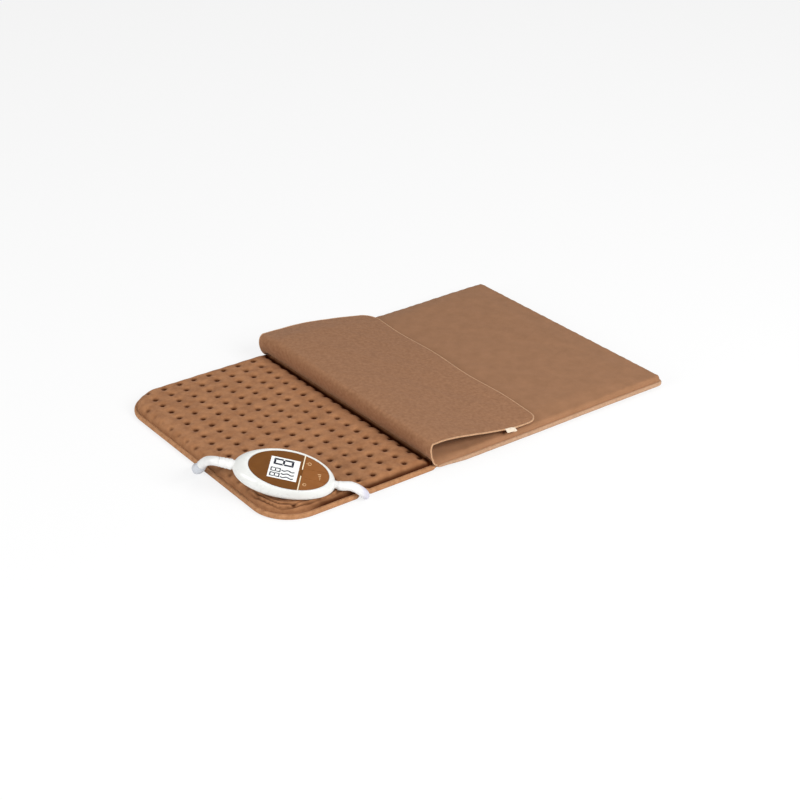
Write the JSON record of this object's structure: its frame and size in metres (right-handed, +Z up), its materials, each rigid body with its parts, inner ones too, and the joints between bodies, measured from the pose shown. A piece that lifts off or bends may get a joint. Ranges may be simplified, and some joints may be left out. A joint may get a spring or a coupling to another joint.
{
  "type": "heating pad with controller",
  "caption": "Quilted electric heating pad in a textile cover with a folded-back flap, with an oval in-line controller with display and keys, and its leads.",
  "frame": {"origin": "middle of the underside of pad and cover, on the surface that they lie on", "axes": "+X along the pad towards the closed end of the cover, +Y across to the far long side, +Z up"},
  "size_m": [0.5569, 0.3519, 0.0483],
  "materials": {
    "pad_fabric": "brushed plush",
    "binding_fabric": "plush",
    "cover_fabric": "smooth suede-like",
    "edge_tape": "woven",
    "label_cloth": "woven",
    "carrier_felt": "felt",
    "wire_silicone": "matte",
    "white_plastic": "satin",
    "face_plastic": "satin",
    "key_plastic": "satin",
    "divider_plastic": "satin",
    "clear_window": "clear",
    "display_glass": "clear",
    "circuit_board": "lacquered",
    "black_plastic": "matte",
    "component_blue": "matte",
    "steel": "plain",
    "cord_pvc": "satin",
    "entry_grey": "satin"
  },
  "bodies": {
    "pad": {"pad_bottom_fabric": "pad_fabric", "pad_top_fabric": "pad_fabric", "pad_edge_binding": "binding_fabric", "cover_back_panel": "cover_fabric", "cover_front_panel": "cover_fabric", "cover_fold": "cover_fabric", "cover_edge_seam": "edge_tape", "hank_tie": "edge_tape", "heater_carrier": "carrier_felt", "heating_wire": "wire_silicone", "controller_upper_shell": "white_plastic", "controller_lower_shell": "white_plastic", "safety_thermostat": "white_plastic", "terminal_block": "white_plastic", "display_panel": "face_plastic", "divider_far": "divider_plastic", "divider_near": "divider_plastic", "display_window": "clear_window", "display_module": "display_glass", "fuse": "display_glass", "circuit_board": "circuit_board", "tact_switch_far": "black_plastic", "tact_switch_end": "black_plastic", "tact_switch_near": "black_plastic", "control_chip": "black_plastic", "triac": "black_plastic", "film_capacitor": "component_blue", "case_screw_1": "steel", "case_screw_2": "steel", "case_screw_3": "steel", "case_screw_4": "steel", "plug_pin_left": "steel", "plug_pin_right": "steel", "pad_lead_collar": "cord_pvc", "pad_lead": "cord_pvc", "mains_lead_boot": "cord_pvc", "mains_lead": "cord_pvc", "mains_lead_hank": "cord_pvc", "plug_body": "cord_pvc", "pad_lead_entry": "entry_grey"},
    "flap": {"cover_flap": "cover_fabric", "flap_edge_tape": "edge_tape", "care_label": "label_cloth"},
    "key_far": {"key_far": "key_plastic"},
    "key_end": {"key_end": "key_plastic"},
    "key_near": {"key_near": "key_plastic"}
  },
  "joints": [
    {"name": "flap_hinge", "type": "hinge", "parent": "pad", "child": "flap", "pos_m": [-0.066, 0, 0.0255], "axis": [0, -1, 0], "range_deg": [0, 150], "deforming": ["cover_fold"]},
    {"name": "key_far_press", "type": "slide", "parent": "pad", "child": "key_far", "axis": [-0.0055, 0.2934, -0.956], "range_m": [0, 0.0008], "stiffness_N_per_m": 500, "springref_m": -0.0006},
    {"name": "key_end_press", "type": "slide", "parent": "pad", "child": "key_end", "axis": [-0.0055, 0.2934, -0.956], "range_m": [0, 0.0008], "stiffness_N_per_m": 500, "springref_m": -0.0006},
    {"name": "key_near_press", "type": "slide", "parent": "pad", "child": "key_near", "axis": [-0.0055, 0.2934, -0.956], "range_m": [0, 0.0008], "stiffness_N_per_m": 500, "springref_m": -0.0006}
  ]
}
